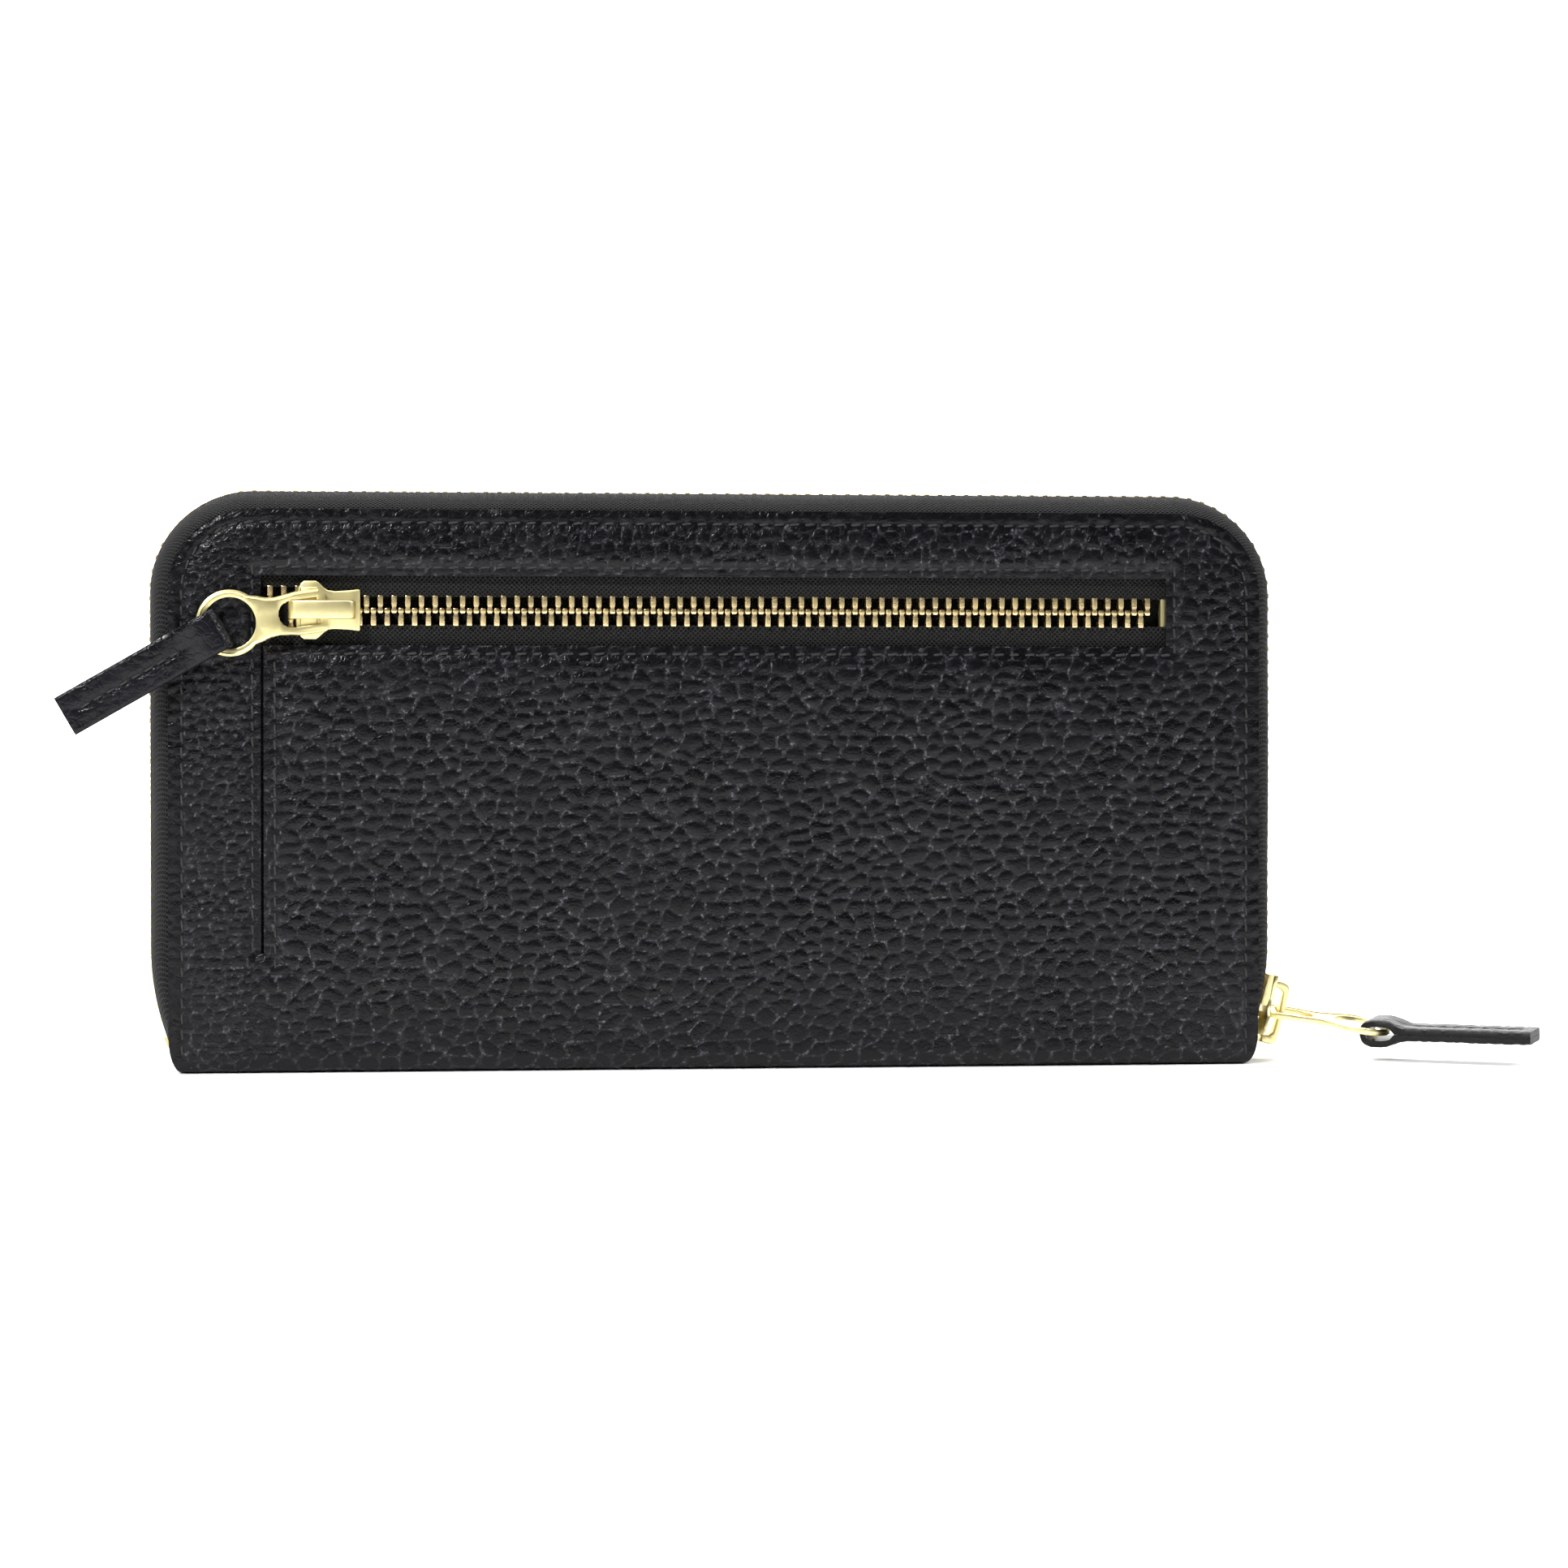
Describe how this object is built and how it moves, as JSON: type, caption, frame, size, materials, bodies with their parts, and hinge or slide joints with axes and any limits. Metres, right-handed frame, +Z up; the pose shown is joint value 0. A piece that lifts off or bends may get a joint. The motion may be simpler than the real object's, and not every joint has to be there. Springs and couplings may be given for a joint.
{
  "type": "zip around wallet",
  "caption": "Long leather wallet closed by a metal zip round three sides, with a zipped slip pocket in its front cover and leather pull tabs.",
  "frame": {"origin": "centre of the spine's flat underside", "axes": "+X along the length, the front cover with the zipped pocket faces -Y, +Z up from the spine to the zip along the top"},
  "size_m": [0.2696, 0.032, 0.1052],
  "materials": {
    "pebbled_leather": "satin pebbled grain, burnished edges",
    "inner_leather": "smooth matt",
    "zip_tape": "woven herringbone tape",
    "lining": "fine woven lining",
    "satin_brass": "satin pale brass",
    "teeth_brass": "polished gold",
    "board": "plain"
  },
  "bodies": {
    "root": {"centre_pocket_back": "inner_leather", "centre_pocket_base": "lining", "centre_pocket_front": "inner_leather", "gusset_back_left": "inner_leather", "gusset_back_right": "inner_leather", "gusset_front_left": "inner_leather", "gusset_front_right": "inner_leather", "spine_leather": "pebbled_leather", "spine_lining": "lining"},
    "front_cover": {"front_board": "board", "front_card_slot_1": "inner_leather", "front_card_slot_2": "inner_leather", "front_card_slot_3": "inner_leather", "front_card_slot_4": "inner_leather", "front_cover_leather": "pebbled_leather", "front_lining": "lining", "main_tape_front": "zip_tape", "main_teeth_front": "teeth_brass", "main_top_stop_front": "satin_brass", "pocket_bag_back": "lining", "pocket_bag_front": "lining", "pocket_end_stop": "satin_brass", "pocket_tape_lower": "zip_tape", "pocket_tape_upper": "zip_tape", "pocket_teeth_lower": "teeth_brass", "pocket_teeth_upper": "teeth_brass"},
    "back_cover": {"back_board": "board", "back_cover_leather": "pebbled_leather", "back_lining": "lining", "back_slip_pocket_1": "inner_leather", "back_slip_pocket_2": "inner_leather", "main_end_stop": "satin_brass", "main_tape_back": "zip_tape", "main_teeth_back": "teeth_brass", "main_top_stop_back": "satin_brass"},
    "main_slider": {"main_slider_body": "satin_brass", "main_slider_crown": "satin_brass"},
    "main_pull": {"main_pull_tab": "satin_brass"},
    "main_tab": {"main_leather_tab": "pebbled_leather"},
    "pocket_slider": {"pocket_slider_body": "satin_brass", "pocket_slider_crown": "satin_brass"},
    "pocket_pull": {"pocket_pull_tab": "satin_brass"},
    "pocket_tab": {"pocket_leather_tab": "pebbled_leather"}
  },
  "joints": [
    {"name": "front_cover_hinge", "type": "hinge", "parent": "root", "child": "front_cover", "pos_m": [0, -0.0098, 0.0012], "axis": [1, 0, 0], "range_deg": [0, 30], "deforming": ["main_tape_front", "main_teeth_front", "main_top_stop_front", "gusset_front_left", "gusset_front_right"]},
    {"name": "back_cover_hinge", "type": "hinge", "parent": "root", "child": "back_cover", "pos_m": [0, 0.0098, 0.0012], "axis": [-1, 0, 0], "range_deg": [0, 30], "deforming": ["gusset_back_left", "gusset_back_right", "main_top_stop_back"]},
    {"name": "main_slide", "type": "slide", "parent": "back_cover", "child": "main_slider", "axis": [0, 0, 1], "range_m": [0, 0.065], "deforming": ["main_teeth_back", "main_tape_back"]},
    {"name": "main_pull_hinge", "type": "hinge", "parent": "main_slider", "child": "main_pull", "pos_m": [0.10404, 0, 0.00897], "axis": [-0.0938, -0.9835, -0.1544], "range_deg": [0, 60]},
    {"name": "main_tab_hinge", "type": "hinge", "parent": "main_pull", "child": "main_tab", "pos_m": [0.1249, -0.00368, 0.00528], "axis": [-0.5014, -0.8621, -0.0739], "range_deg": [-3, 25], "deforming": ["main_leather_tab"]},
    {"name": "pocket_slide", "type": "slide", "parent": "front_cover", "child": "pocket_slider", "axis": [1, 0, 0], "range_m": [0, 0.142], "deforming": ["pocket_teeth_upper", "pocket_teeth_lower"]},
    {"name": "pocket_pull_hinge", "type": "hinge", "parent": "pocket_slider", "child": "pocket_pull", "pos_m": [-0.07155, -0.01295, 0.08285], "axis": [-0.1478, 0, 0.989], "range_deg": [0, 145]},
    {"name": "pocket_tab_hinge", "type": "hinge", "parent": "pocket_pull", "child": "pocket_tab", "pos_m": [-0.09245, -0.01482, 0.07777], "axis": [-0.4986, -0.0319, 0.8662], "range_deg": [0, 35], "deforming": ["pocket_leather_tab"]}
  ]
}
